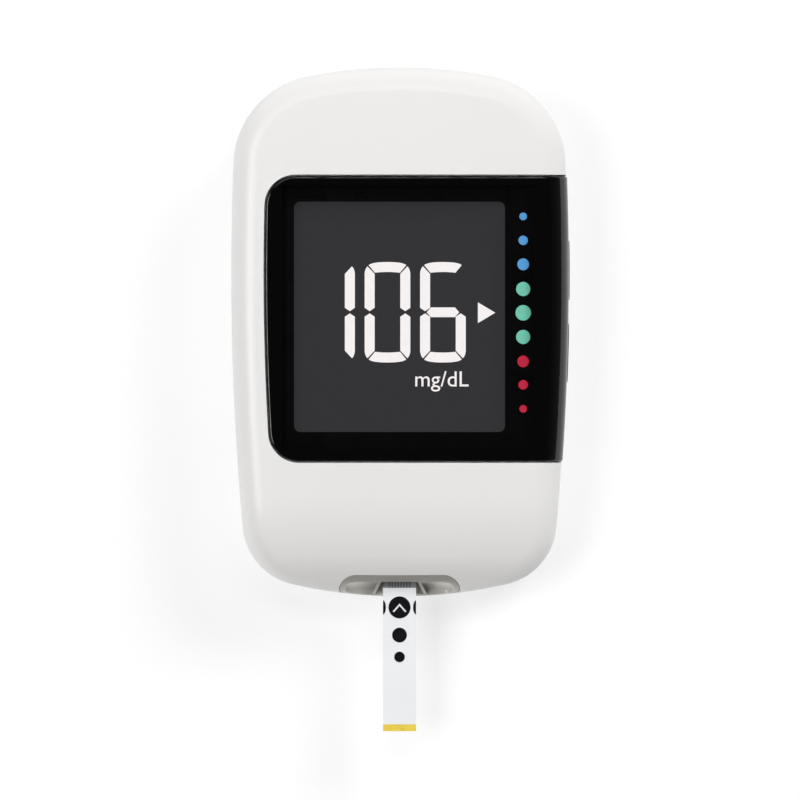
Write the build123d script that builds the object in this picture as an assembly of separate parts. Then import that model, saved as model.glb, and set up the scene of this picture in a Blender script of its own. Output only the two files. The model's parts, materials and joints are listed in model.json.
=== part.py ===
from build123d import *

import os
from functools import lru_cache
from math import asin, cos, degrees, hypot, radians, sin, sqrt

# A pocket blood glucose meter with a test strip in its port.
#
# Frame: the meter lies on its back. X runs across it, with +X at the right of the display, Y runs
# along it, with +Y at the top of the display, and Z points up through the front. The origin is on the
# back face, midway across and along the housing. All sizes are in millimetres.
#
# Every outer piece is cut from one form of the housing: form(depth) is that form with its whole
# surface pulled in by depth, so walls, lens, bezel, door, keys and slider stay parallel to each other.

# ---------------------------------------------------------------- driving dimensions

# Housing form
BODY_WIDTH = 48.8
BODY_LENGTH = 76.8
BODY_THICKNESS = 15.3
SIDE_R = 415.0  # the sides are slightly barrelled
WIDEST_Y = 8.5  # and widest a little above the middle
TOP_CROWN_R = 70.0
TOP_CORNER_R = 13.3
BOTTOM_CROWN_R = 68.0
BOTTOM_CORNER_R = 9.3
CROWN_ACROSS_R = 600.0  # the front is domed, very gently, both ways
CROWN_ALONG_R = 700.0
CROWN_APEX_Y = 5.0
SLOPE_LENGTH = 14.4  # over this length, from the bottom end, the front falls away to the strip port
SLOPE_R = 25.0
NOSE_LENGTH = 5.7  # over this length it then rounds into the bottom end, where the port is
NOSE_R = 10.0
FRONT_EDGE_R = 3.6
BACK_EDGE_R = 4.6

# Mouldings
WALL = 1.6
PARTING_Z = 7.0  # height of the seam between the front and rear covers
LIP_HEIGHT = 1.0  # of the rear cover's tongue, above and below the seam
LIP_T = 0.7
FIT_GAP = 0.12  # between mouldings that meet
GROOVE_WIDTH = 0.2  # of the fine groove along the seam and round the lens
GROOVE_DEPTH = 0.3
RIB_T = 0.8
RIB_HEIGHT = 2.4

# Display lens, which wraps round the right side
LENS_TOP_MARGIN = 15.65  # from the top of the housing
LENS_BOTTOM_MARGIN = 19.5  # from the bottom of the housing
LENS_SIDE_MARGIN = 4.75  # from the left side of the housing
LENS_CORNER_R = 4.5
LENS_T = 1.2
LENS_PROUD = 0.15
LENS_EDGE_R = 0.3
PRINT_T = 0.12  # black ink behind the lens
TAPE_T = 0.2
TAPE_MARGIN = 0.6  # from the lens's edge
LEDGE_T = 0.9  # wall of the front cover behind the lens
LEDGE_BAND = 1.4  # how far that wall runs past the lens
WINDOW_SIDE_MARGIN = 9.15  # from the sides of the housing
WINDOW_CORNER_R = 0.9
WINDOW_TOP_MARGIN = 3.9  # from the lens's top edge
WINDOW_BOTTOM_MARGIN = 4.45  # from its bottom edge
TAPE_BORDER = 0.8  # from the window to the tape

# Display
LCD_BORDER = 2.0  # glass past the window on each side
LCD_TERMINALS = 3.0  # upper glass past the lower glass, over the connector strip
POLARISER_T = 0.2
GLASS_T = 0.7
LIGHT_GUIDE_T = 1.2
LCD_GAP = 0.3  # from the front polariser to the wall over it
HOLDER_WALL = 0.8
HOLDER_FLOOR_T = 0.6
HOLDER_GAP = 0.15
ZEBRA_WIDTH = 1.8
ZEBRA_MARGIN = 1.5  # from the ends of the glass
BACKLIGHT_LED_WIDTH = 3.0
BACKLIGHT_LED_DEPTH = 0.6
BACKLIGHT_LED_SPACING = 16.0

# Battery bay
CELL_SIDE_MARGIN = 3.95  # from the sides of the housing to the cells, which leaves them 20 mm
CELL_T = 3.2
CELL_CAP_INSET = 1.2
CELL_CAP_HEIGHT = 0.4
CELL_EDGE_R = 0.4
CELL_RIM_R = 0.2
CELL_SPACING = 0.9  # between the two cells
CELL_GAP = 0.25  # round each cell
CELL_PLAY = 0.3  # between door and cell
CONTACT_ROOM = 0.5  # between cell and bay floor
BAY_FLOOR_T = 0.8
BAY_WALL = 0.8
CONTACT_T = 0.2
CONTACT_WIDTH = 3.0
CONTACT_BEND_R = 0.15
CONTACT_LEAF = 5.0  # from the middle of a cell to the foot of its upper contact
CONTACT_SLOPE = 2.5  # length of that contact's sloping run, on each side of the cell's middle
CONTACT_TOUCH = 0.03  # gap left where a contact touches
FINGER_NOTCH = 7.0
FINGER_NOTCH_DEPTH = 1.9
DOOR_T = 1.2
DOOR_MARGIN = 1.55  # door past the cells at the top and bottom
DOOR_CORNER_R = 3.0
DOOR_GRIP_WIDTH = 9.0
DOOR_GRIP_R = 0.45
DOOR_GRIP_PITCH = 1.6
DOOR_GRIP_COUNT = 3
DOOR_GRIP_IN = 2.2  # from the door's top edge to the first groove
HOOK_WIDTH = 3.0
HOOK_T = 0.8
HOOK_REACH = 1.2
HOOK_INSET = 3.7  # from the door's side to the middle of a hook
LATCH_WIDTH = 8.0
LATCH_T = 0.8
LATCH_GAP = 1.0  # between the legs of the latch's U
LATCH_HEIGHT = 2.6  # of the U above the door's inner face

# Circuit board
BOARD_T = 1.0
BOARD_ROOM = 0.6  # under the board, over the bay floor
BOARD_GAP = 0.9  # round the board
CHIP_T = 0.8
CONTROLLER_SIZE = 7.0
CONTROLLER_AT = (4.0, 5.0)
MEMORY_SIZE = (5.0, 4.0)
MEMORY_AT = (-8.0, 9.0)
AMPLIFIER_SIZE = (3.0, 3.0)
AMPLIFIER_AT = (0.0, -10.0)
PASSIVE_SIZE = (1.0, 0.5, 0.5)
PASSIVE_PITCH = 1.6
PASSIVE_ROWS = 2
PASSIVE_COLUMNS = 6
PASSIVES_AT = (-4.0, -4.0)
RADIO_SIZE = (8.0, 5.6)
RADIO_BASE_T = 0.5
RADIO_CAN_T = 1.2
RADIO_RIM = 0.5
RADIO_CAN_R = 0.25
RADIO_IN = (18.9, 10.2)  # from the left side and the top end of the housing
PORT_LED_SIZE = (1.6, 0.8, 0.8)
PORT_LED_X = 6.8

# Housing screws
SCREW_D = 2.0
SCREW_LENGTH = 7.6
SCREW_TIP = (0.8, 0.4)  # length and depth of the point's taper
SCREW_HEAD_D = 3.6
SCREW_HEAD_T = 1.2
SCREW_HEAD_R = 0.4
SCREW_HEAD_DEPTH = 2.4  # from the back face to the seat of the head
SCREW_RECESS_WIDTH = 0.5
SCREW_RECESS_LENGTH = 2.0
SCREW_RECESS_DEPTH = 0.7
SCREW_GRIP_GAP = 0.02
SCREW_HOLE_GAP = 0.2
COUNTERBORE_GAP = 0.3
POST_WALL = 0.9
BOSS_D = 4.4
TOP_SCREW_IN = (8.6, 9.5)  # from the side and from the end of the housing
BOTTOM_SCREW_IN = (10.4, 8.8)

# Test strip and its connector
STRIP_WIDTH = 4.8
STRIP_LENGTH = 30.4
STRIP_BASE_T = 0.3
STRIP_FILM_T = 0.2
STRIP_TIP_LENGTH = 1.0
STRIP_OUT = 19.5  # past the end of the housing
STRIP_BARE_LENGTH = 9.6  # with no film, at the inner end
STRIP_TRAVEL = 9.5
ELECTRODE_COUNT = 6
ELECTRODE_PITCH = 0.65
ELECTRODE_WIDTH = 0.3
ELECTRODE_T = 0.05
STRIP_CLEARANCE = 0.08
CONNECTOR_DEPTH = 7.8
CONNECTOR_WALL = 2.6
CONNECTOR_FLOOR_T = 0.85
CONNECTOR_HEIGHT = 2.4
CONNECTOR_CHAMFER = 0.65
FINGER_T = 0.15
FINGER_WIDTH = 0.3
FINGER_SLOT = 0.45
FINGER_BEND_R = 0.25
FINGER_DROP = 0.5  # from the connector's top to a finger's upper run
FINGER_TOUCH = 2.6  # from the strip's inner end to where a finger touches it
FINGER_SLOPE = 1.95  # from there back to the upper run
FINGER_NOSE = 0.975  # from there on to the finger's end
FINGER_ROOM = 1.3  # from there on to the end of the finger's slot

# Strip port in the bottom end of the housing
PORT_WIDTH = 17.4
PORT_HEIGHT = 4.6
PORT_DEPTH = 4.0
PORT_RIM = 0.8
PORT_EAR = 1.2
PORT_EAR_HEIGHT = 2.6
MOUTH_DEPTH = 2.2
MOUTH_THROAT = 5.3
MOUTH_WIDTH = 7.4
MOUTH_DROP = 1.3  # from the strip to the floor of the mouth
MOUTH_GUIDE_T = 0.45
WING_RADII = (4.3, 2.4, 2.3)
WING_OFFSET = 5.3  # from the middle of the port to the middle of a wing
WING_RISE = 0.5  # from the strip to the middle of a wing

# Keys on the right side, and their switches
KEY_LENGTH = 8.6
KEY_HEIGHT = 2.8
KEY_SPACING = 12.0
KEY_RISE = 1.075  # from the middle of the lens to midway between the keys
KEY_GAP = 0.12
KEY_PROUD = 0.12  # past the lens
KEY_TRAVEL = 0.35
KEY_FLANGE_T = 0.6
KEY_FLANGE = 0.6
SWITCH_DEPTH = 2.0
SWITCH_LENGTH = 4.6
SWITCH_HEIGHT = 2.6
SWITCH_AXIS_HEIGHT = 1.6
SWITCH_CHAMFER = 0.5
PLUNGER_SIZE = (1.6, 1.0)
PLUNGER_OUT = 0.5
PLUNGER_IN = 0.8
PLUNGER_GAP = 0.06

# Strip ejector, a slider in the left side
EJECTOR_TRAVEL = 5.0
THUMB_LENGTH = 9.0
THUMB_HEIGHT = 4.2
THUMB_CORNER_R = 1.2
THUMB_IN = 26.4  # from the bottom end of the housing to the thumb piece's top
THUMB_RECESS = 0.1
THUMB_GROOVES = 5
THUMB_GROOVE_PITCH = 1.4
THUMB_GROOVE_R = 0.4
TRACK_DEPTH = 1.3
TRACK_FLOOR_T = 0.8
TRACK_GAP = 0.2
STEM_LENGTH = 4.0
STEM_HEIGHT = 1.4
STEM_DEPTH = 0.65  # of the stem's root in the thumb piece
CARRIAGE_T = 1.2
CARRIAGE_HEIGHT = 4.0
CARRIAGE_GAP = 0.1
CARRIAGE_ROOM = 0.45  # between the carriage and the board
ARM_WIDTH = 2.4
ARM_T = 1.2
PRONG_WIDTH = 0.45
PRONG_ROOM = 0.05  # between prong and strip
ARM_ROOM = 1.2  # between the arm and the connector at full travel
SPRING_IN = 5.0  # from the lower left screw to the spring
SPRING_OD = 2.2
SPRING_WIRE_D = 0.28
SPRING_TURNS = 7
SPRING_PIN_LENGTH = 1.6
SPRING_PIN_GAP = 0.15
SPRING_SEAT_T = 1.2
SPRING_SEAT_WIDTH = 2.8
SPRING_SEAT_IN = 8.2  # from the end of the housing to the spring's seat

# Micro USB socket in the top end
USB_WIDTH = 7.5
USB_HEIGHT = 2.6
USB_DEPTH = 5.2
USB_SHELL_T = 0.3
USB_CORNER = 0.9
USB_SET_BACK = 1.2  # from the end of the housing
USB_PLUG_GAP = 0.6
USB_TONGUE_WIDTH = 3.7
USB_TONGUE_T = 0.6
USB_TONGUE_BACK = 0.6  # from the socket's mouth

# ---------------------------------------------------------------- sizes that follow from them

HALF_WIDTH = BODY_WIDTH / 2
HALF_LENGTH = BODY_LENGTH / 2
root = WALL / 2  # depth in the wall at which inner walls and posts start
BEYOND = 2 * BODY_LENGTH  # clear of the part, for cuts that run out of it


def front_z(x, y, depth=0.0):
    """Height of the domed part of the front surface, pulled in by depth."""
    lean = asin((y - CROWN_APEX_Y) / CROWN_ALONG_R)
    middle = BODY_THICKNESS - CROWN_ALONG_R + (CROWN_ALONG_R - depth) * cos(lean)
    pivot = BODY_THICKNESS - CROWN_ACROSS_R
    return pivot + sqrt((middle - pivot) ** 2 - x**2)


def side_x(y, depth=0.0):
    """Distance from the middle plane to the barrelled side, pulled in by depth."""
    return HALF_WIDTH - SIDE_R + sqrt((SIDE_R - depth) ** 2 - (y - WIDEST_Y) ** 2)


lens_top_y = HALF_LENGTH - LENS_TOP_MARGIN
lens_height = BODY_LENGTH - LENS_TOP_MARGIN - LENS_BOTTOM_MARGIN
lens_y = lens_top_y - lens_height / 2
lens_inner = LENS_T - LENS_PROUD  # depth of the lens's inner face under the housing's form
print_inner = lens_inner + PRINT_T
lens_seat = print_inner + TAPE_T
ledge_inner = lens_seat + LEDGE_T
window_width = BODY_WIDTH - 2 * WINDOW_SIDE_MARGIN
window_height = lens_height - WINDOW_TOP_MARGIN - WINDOW_BOTTOM_MARGIN
window_y = lens_top_y - WINDOW_TOP_MARGIN - window_height / 2

cell_d = (BODY_WIDTH - CELL_SPACING) / 2 - CELL_SIDE_MARGIN
cell_bottom = DOOR_T + CELL_PLAY
cell_top = cell_bottom + CELL_T
bay_ceiling = cell_top + CONTACT_ROOM
bay_top = bay_ceiling + BAY_FLOOR_T
board_bottom = bay_top + BOARD_ROOM
board_top = board_bottom + BOARD_T

counterbore_r = SCREW_HEAD_D / 2 + COUNTERBORE_GAP
top_screw = (HALF_WIDTH - TOP_SCREW_IN[0], HALF_LENGTH - TOP_SCREW_IN[1])
bottom_screw = (HALF_WIDTH - BOTTOM_SCREW_IN[0], BOTTOM_SCREW_IN[1] - HALF_LENGTH)
screw_spots = [(side * x, y) for x, y in (top_screw, bottom_screw) for side in (-1, 1)]

pocket_r = cell_d / 2 + CELL_GAP
cell_x = (cell_d + CELL_SPACING) / 2
door_width = 2 * (cell_x + pocket_r + FIT_GAP)
door_height = cell_d + 2 * (CELL_GAP + DOOR_MARGIN)
door_top_y = top_screw[1] - counterbore_r - POST_WALL
door_bottom_y = door_top_y - door_height
bay_y = (door_top_y + door_bottom_y) / 2
hook_x = door_width / 2 - HOOK_INSET
latch_top = DOOR_T + LATCH_HEIGHT
latch_out = LATCH_GAP + LATCH_T  # how far the latch stands past the door's top edge
latch_reach = hypot(door_height + latch_out, latch_top) - door_height + FIT_GAP

strip_z = board_top + CONNECTOR_FLOOR_T + STRIP_CLEARANCE
base_top = strip_z + STRIP_BASE_T
strip_top = base_top + STRIP_FILM_T
strip_tip_y = -HALF_LENGTH - STRIP_OUT
strip_inner_y = strip_tip_y + STRIP_LENGTH
channel = (STRIP_WIDTH / 2 + STRIP_CLEARANCE, strip_z - STRIP_CLEARANCE, strip_top + STRIP_CLEARANCE)
port_z = (strip_z + strip_top) / 2
port_inner_y = PORT_DEPTH - HALF_LENGTH
connector_y = (port_inner_y + FIT_GAP, port_inner_y + FIT_GAP + CONNECTOR_DEPTH)
connector_top = board_top + CONNECTOR_HEIGHT
electrode_xs = [(i - (ELECTRODE_COUNT - 1) / 2) * ELECTRODE_PITCH for i in range(ELECTRODE_COUNT)]

key_z = board_top + SWITCH_AXIS_HEIGHT
key_y = lens_y + KEY_RISE
key_spots = {"up": key_y + KEY_SPACING / 2, "down": key_y - KEY_SPACING / 2}
key_span = KEY_SPACING / 2 + KEY_LENGTH / 2 + KEY_FLANGE
key_stop_x = min(side_x(key_y + side * key_span, ledge_inner) for side in (-1, 1)) - KEY_GAP
key_back_x = key_stop_x - KEY_FLANGE_T
switch_x = key_back_x - PLUNGER_OUT

thumb_top_y = THUMB_IN - HALF_LENGTH
thumb_y = (thumb_top_y - THUMB_LENGTH, thumb_top_y)
track_y = (thumb_y[0] - EJECTOR_TRAVEL, thumb_y[1])
arm_y = connector_y[1] + EJECTOR_TRAVEL + ARM_ROOM
stem_y = (sum(thumb_y) - STEM_LENGTH) / 2
pad_depth = TRACK_DEPTH + TRACK_FLOOR_T
carriage_x = CARRIAGE_GAP - side_x(arm_y - EJECTOR_TRAVEL, pad_depth)
carriage_inner_x = carriage_x + CARRIAGE_T
spring_x = SPRING_IN - bottom_screw[0]
spring_seat_y = SPRING_SEAT_IN - HALF_LENGTH
spring_pin_r = SPRING_OD / 2 - SPRING_WIRE_D - SPRING_PIN_GAP

lcd_half_width = window_width / 2 + LCD_BORDER
lcd_low_y = window_y - window_height / 2 - LCD_BORDER
lcd_high_y = window_y + window_height / 2 + LCD_BORDER
lcd_end_y = lcd_high_y + LCD_TERMINALS
lcd_top = min(front_z(lcd_half_width, y, ledge_inner) for y in (lcd_low_y, lcd_end_y)) - LCD_GAP
upper_glass_top = lcd_top - POLARISER_T
lower_glass_top = upper_glass_top - GLASS_T
rear_film_top = lower_glass_top - GLASS_T
guide_top = rear_film_top - POLARISER_T
holder_floor = guide_top - LIGHT_GUIDE_T

# ---------------------------------------------------------------- shapes used again and again


def block(x, y, z):
    """A box given by its lowest and highest value along each axis."""
    size = Box(x[1] - x[0], y[1] - y[0], z[1] - z[0])
    return Pos(sum(x) / 2, sum(y) / 2, sum(z) / 2) * size


def about(middle, width):
    """Lowest and highest value of a span, from its middle and width."""
    return (middle - width / 2, middle + width / 2)


def column(face, z):
    """A flat outline drawn on XY, carried up from z[0] to z[1]."""
    return Pos(0, 0, z[0]) * extrude(face, z[1] - z[0])


def rod(x, y, radius, z):
    """An upright cylinder."""
    return column(Pos(x, y) * Circle(radius), z)


def leaf(points, thickness, bend_r, x, width):
    """Sheet metal bent along a path of (y, z) points, of a given width about x."""
    face = trace(FilletPolyline(*points, radius=bend_r), thickness)
    return extrude(Plane((x, 0, 0), x_dir=(0, 1, 0), z_dir=(1, 0, 0)) * face, width / 2, both=True)


def joined(shapes):
    """Separate solids kept together as one node."""
    return Compound([solid for shape in shapes for solid in shape.solids()])


# ---------------------------------------------------------------- the form of the housing


def outline(depth):
    """The housing seen from the front: two crowns, two barrelled sides and four round corners."""
    side = SIDE_R - HALF_WIDTH
    face = Pos(side, WIDEST_Y) * Circle(SIDE_R - depth)
    face &= Pos(-side, WIDEST_Y) * Circle(SIDE_R - depth)
    face &= Pos(0, HALF_LENGTH - TOP_CROWN_R) * Circle(TOP_CROWN_R - depth)
    face &= Pos(0, BOTTOM_CROWN_R - HALF_LENGTH) * Circle(BOTTOM_CROWN_R - depth)
    face = fillet(face.vertices().sort_by(Axis.Y)[2:], TOP_CORNER_R - depth)
    return fillet(face.vertices().sort_by(Axis.Y)[:2], BOTTOM_CORNER_R - depth)


def front_profile(depth):
    """The housing seen from the side, under its front surface: a long crown, a slope and a round nose."""

    def arc(middle, radius, start, end):
        """Three points on an arc of the surface, between two leans of its normal."""
        leans = (start, (start + end) / 2, end)
        return [middle + Vector(sin(lean), cos(lean)) * (radius - depth) for lean in leans]

    def next_middle(middle, radius, lean, next_radius):
        """The middle of an arc that carries on smoothly from another."""
        return middle + Vector(sin(lean), cos(lean)) * (radius - next_radius)

    crown = Vector(CROWN_APEX_Y, BODY_THICKNESS - CROWN_ALONG_R)
    crown_top = asin(BODY_LENGTH / CROWN_ALONG_R)
    crown_end = asin((SLOPE_LENGTH - HALF_LENGTH - CROWN_APEX_Y) / CROWN_ALONG_R)
    slope = next_middle(crown, CROWN_ALONG_R, crown_end, SLOPE_R)
    slope_end = asin((NOSE_LENGTH - HALF_LENGTH - slope.X) / SLOPE_R)
    nose = next_middle(slope, SLOPE_R, slope_end, NOSE_R)
    crown_arc = arc(crown, CROWN_ALONG_R, crown_top, crown_end)
    nose_arc = arc(nose, NOSE_R, slope_end, -radians(90))
    top, foot = crown_arc[0], nose_arc[-1]
    floor = foot.Y - BODY_THICKNESS
    with BuildSketch(Plane.YZ) as side:
        with BuildLine():
            ThreePointArc(*crown_arc)
            ThreePointArc(*arc(slope, SLOPE_R, crown_end, slope_end))
            ThreePointArc(*nose_arc)
            Polyline(foot, (foot.X, floor), (top.X, floor), top)
        make_face()
    return side.sketch


def shared_edges(faces, others):
    """Edges where one set of faces meets another."""
    other_edges = [edge for face in others for edge in face.edges()]
    edges = [edge for face in faces for edge in face.edges()]
    return [edge for edge in edges if any(edge.is_same(other) for other in other_edges)]


def front_rim(body):
    """Edges where the side walls meet the front surface."""
    front = [face for face in body.faces() if face.normal_at().Z > 0.5]
    walls = [face for face in body.faces() if abs(face.normal_at().Z) <= 0.5]
    return shared_edges(front, walls)


@lru_cache(maxsize=None)
def form(depth):
    """The solid form of the whole housing, with its surface pulled in by depth."""
    walls = column(outline(depth), (depth, 2 * BODY_THICKNESS))
    pivot = Axis((0, 0, BODY_THICKNESS - CROWN_ACROSS_R), (0, 1, 0))
    sweep = degrees(3 * BODY_WIDTH / CROWN_ACROSS_R)
    cap = revolve(front_profile(depth).rotate(pivot, -sweep / 2), pivot, sweep)
    body = walls & cap
    body = fillet(front_rim(body), FRONT_EDGE_R - depth)
    back = body.faces().sort_by(Axis.Z)[0]
    return fillet(back.edges(), BACK_EDGE_R - depth)


def skin(outer, inner):
    """The layer of the housing's form between two depths."""
    return form(outer) - form(inner)


# ---------------------------------------------------------------- regions shared by several pieces


def lens_zone(grow, low_z):
    """The region of the lens, grown outwards. It runs out past the right side, which the lens covers."""
    left = Pos(SIDE_R - HALF_WIDTH, WIDEST_Y) * Circle(SIDE_R - LENS_SIDE_MARGIN + grow)
    band = Pos(HALF_WIDTH, lens_y) * Rectangle(2 * BODY_WIDTH, lens_height + 2 * grow)
    face = left & band
    corners = face.vertices().sort_by(Axis.X)[:2]
    return column(fillet(corners, LENS_CORNER_R + grow), (low_z, BEYOND))


def window_zone(grow, z):
    """The column behind the clear window."""
    size = (window_width + 2 * grow, window_height + 2 * grow)
    return column(Pos(0, window_y) * RectangleRounded(*size, WINDOW_CORNER_R + grow), z)


def port_zone(grow):
    """The round-ended opening of the strip port, from outside to the bezel's inner face."""
    face = SlotOverall(PORT_WIDTH + 2 * grow, PORT_HEIGHT + 2 * grow)
    inner = Plane((0, port_inner_y, port_z), x_dir=(1, 0, 0), z_dir=(0, -1, 0))
    return extrude(inner * face, BEYOND)


def side_hole(face, y, z, x):
    """An outline drawn with its length along Y, carried across from x[0] to x[1]."""
    return extrude(Plane((x[0], y, z), x_dir=(0, 1, 0), z_dir=(1, 0, 0)) * face, x[1] - x[0])


def key_zone(y, grow, x):
    """The round-ended opening of one key, carried across."""
    return side_hole(SlotOverall(KEY_LENGTH + 2 * grow, KEY_HEIGHT + 2 * grow), y, key_z, x)


def door_zone(grow, z):
    """The column of the battery door."""
    size = (door_width + 2 * grow, door_height + 2 * grow)
    return column(Pos(0, bay_y) * RectangleRounded(*size, DOOR_CORNER_R + grow), z)


def track_zone(grow, y):
    """The round-cornered outline of the thumb piece or of its track, carried in from the left."""
    size = (y[1] - y[0] + 2 * grow, THUMB_HEIGHT + 2 * grow)
    face = RectangleRounded(*size, THUMB_CORNER_R + grow)
    return side_hole(face, sum(y) / 2, PARTING_Z, (-BEYOND, 0))


def track_pad():
    """Extra wall behind the ejector's track."""
    return track_zone(WALL, track_y) & skin(0, pad_depth)


def track_cut():
    """The ejector's track, and the slot through its floor that the stem slides in."""
    reach = (-BEYOND, carriage_inner_x)
    y = (stem_y - EJECTOR_TRAVEL - TRACK_GAP, stem_y + STEM_LENGTH + TRACK_GAP)
    slot = block(reach, y, about(PARTING_Z, STEM_HEIGHT + 2 * TRACK_GAP))
    return (track_zone(TRACK_GAP, track_y) - form(TRACK_DEPTH)) + slot


def connector_room():
    """The pocket in the front cover for the top of the strip connector."""
    x = about(0, 2 * (channel[0] + CONNECTOR_WALL + FIT_GAP))
    y = (connector_y[0] - FIT_GAP, connector_y[1] + FIT_GAP)
    return block(x, y, (PARTING_Z, connector_top + FIT_GAP))


def usb_cut(grow):
    """The opening in the top end that the plug goes through. It is open down to the seam."""
    z = (PARTING_Z, board_top + USB_HEIGHT + USB_PLUG_GAP)
    cut = block(about(0, USB_WIDTH + 2 * (USB_PLUG_GAP + grow)), (HALF_LENGTH - USB_DEPTH, BEYOND), z)
    return fillet(cut.edges().filter_by(Axis.Y).group_by(Axis.Z)[-1], USB_CORNER)


def seam_groove():
    """The fine groove that is left outside along the seam."""
    band = (PARTING_Z, PARTING_Z + GROOVE_WIDTH)
    return block((-BEYOND, BEYOND), (-BEYOND, BEYOND), band) - form(GROOVE_DEPTH)


def seam_ring(gap):
    """The tongue round the seam, grown by gap. It stops at the lens, the track, the port and the socket."""
    ring = skin(WALL - LIP_T - gap, WALL)
    lip = (PARTING_Z - LIP_HEIGHT, PARTING_Z + LIP_HEIGHT + gap)
    ring &= block((-BEYOND, BEYOND), (-BEYOND, BEYOND), lip)
    ring -= lens_zone(LEDGE_BAND + FIT_GAP - gap, -BEYOND)
    stop = FIT_GAP - gap
    seam = (PARTING_Z - BODY_THICKNESS, PARTING_Z + BODY_THICKNESS)
    ring -= block((-BEYOND, 0), (track_y[0] - WALL - stop, track_y[1] + WALL + stop), seam)
    ring -= block(about(0, PORT_WIDTH + 2 * (PORT_EAR + stop)), (-BEYOND, 0), seam)
    ring -= block(about(0, USB_WIDTH + 2 * (USB_PLUG_GAP + stop)), (0, BEYOND), seam)
    return ring


# ---------------------------------------------------------------- covers


def front_cover():
    """The white front shell, with the seat of the lens, screw bosses and the seat of the spring."""
    cover = skin(0, WALL) + (skin(0, ledge_inner) & lens_zone(LEDGE_BAND, PARTING_Z))
    cover += track_pad()
    cover &= block((-BEYOND, BEYOND), (-BEYOND, BEYOND), (PARTING_Z, BEYOND))
    inside = form(root)
    for x, y in screw_spots:
        cover += rod(x, y, BOSS_D / 2, (board_top, BEYOND)) & inside
    seat_y = (spring_seat_y - SPRING_SEAT_T, spring_seat_y)
    cover += block(about(spring_x, SPRING_SEAT_WIDTH), seat_y, (board_top + FIT_GAP, BEYOND)) & inside
    pin = Plane((spring_x, spring_seat_y, port_z), z_dir=(0, 1, 0)) * Circle(spring_pin_r)
    cover += extrude(pin, SPRING_PIN_LENGTH)
    cover -= lens_zone(0, 0) - form(lens_seat)
    cover -= window_zone(TAPE_BORDER, (PARTING_Z, BEYOND))
    pilot = (board_top, SCREW_HEAD_DEPTH + SCREW_LENGTH + FIT_GAP)
    for x, y in screw_spots:
        cover -= rod(x, y, SCREW_D / 2 + SCREW_GRIP_GAP, pilot)
    for y in key_spots.values():
        cover -= key_zone(y, KEY_GAP, (0, BEYOND))
    cover -= seam_ring(FIT_GAP)
    cover -= seam_groove()
    cover -= port_zone(FIT_GAP)
    cover -= connector_room()
    cover -= track_cut()
    cover -= usb_cut(0)
    return cover


def bay_walls():
    """The pan over the battery door: a ledge round the door, a cup for each cell and the latch's hood."""
    walls = door_zone(BAY_WALL, (root, DOOR_T + FIT_GAP + BAY_WALL))
    for side in (-1, 1):
        walls += rod(side * cell_x, bay_y, pocket_r + BAY_WALL, (root, bay_top))
    hood = about(0, LATCH_WIDTH + 4 * FIT_GAP + 2 * BAY_WALL)
    hood_y = (door_top_y - LATCH_T - FIT_GAP - BAY_WALL, door_top_y + latch_reach + BAY_WALL)
    walls += block(hood, hood_y, (root, latch_top + FIT_GAP + BAY_WALL))
    return walls & form(root)


def bay_cuts():
    """What is cut from the rear cover for the door, its hooks and latch, the cells and their contacts."""
    yield door_zone(FIT_GAP, (-WALL, DOOR_T + FIT_GAP))
    for side in (-1, 1):
        x = side * cell_x
        yield rod(x, bay_y, pocket_r, (0, bay_ceiling))
        leg = about(x, CONTACT_WIDTH + 2 * FIT_GAP)
        foot = about(bay_y + CONTACT_LEAF, CONTACT_T + 2 * FIT_GAP)
        yield block(leg, foot, (bay_ceiling, BEYOND))
        rim = bay_y + pocket_r
        yield block(leg, (rim - CELL_GAP - CONTACT_T, rim + FIT_GAP), (cell_bottom, BEYOND))
        hook = about(side * hook_x, HOOK_WIDTH + 4 * FIT_GAP)
        swing = hypot(HOOK_REACH, DOOR_T + FIT_GAP + HOOK_T) + FIT_GAP
        yield block(hook, about(door_bottom_y, 2 * swing), (DOOR_T - FIT_GAP / 2, swing + HOOK_T))
    yield block(about(0, FINGER_NOTCH), about(bay_y, FINGER_NOTCH), (DOOR_T, DOOR_T + FINGER_NOTCH_DEPTH))
    latch_y = (door_top_y - LATCH_T - FIT_GAP, door_top_y + latch_reach)
    yield block(about(0, LATCH_WIDTH + 4 * FIT_GAP), latch_y, (-WALL, latch_top + FIT_GAP))


def rear_cover():
    """The white rear shell, with the battery bay, screw posts and a stiffening rib."""
    cover = skin(0, WALL) + track_pad()
    cover &= block((-BEYOND, BEYOND), (-BEYOND, BEYOND), (-WALL, PARTING_Z))
    cover += seam_ring(0) + bay_walls()
    inside = form(root)
    for x, y in screw_spots:
        cover += rod(x, y, counterbore_r + POST_WALL, (root, SCREW_HEAD_DEPTH + WALL)) & inside
        cover += rod(x, y, BOSS_D / 2, (root, board_bottom))
    rib_x = about(0, 2 * bottom_screw[0])
    cover += block(rib_x, about(bottom_screw[1], RIB_T), (root, WALL + RIB_HEIGHT))
    for cut in bay_cuts():
        cover -= cut
    for x, y in screw_spots:
        cover -= rod(x, y, counterbore_r, (-WALL, SCREW_HEAD_DEPTH))
        cover -= rod(x, y, SCREW_D / 2 + SCREW_HOLE_GAP, (-WALL, BEYOND))
    cover -= port_zone(FIT_GAP)
    cover -= track_cut()
    return cover


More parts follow.
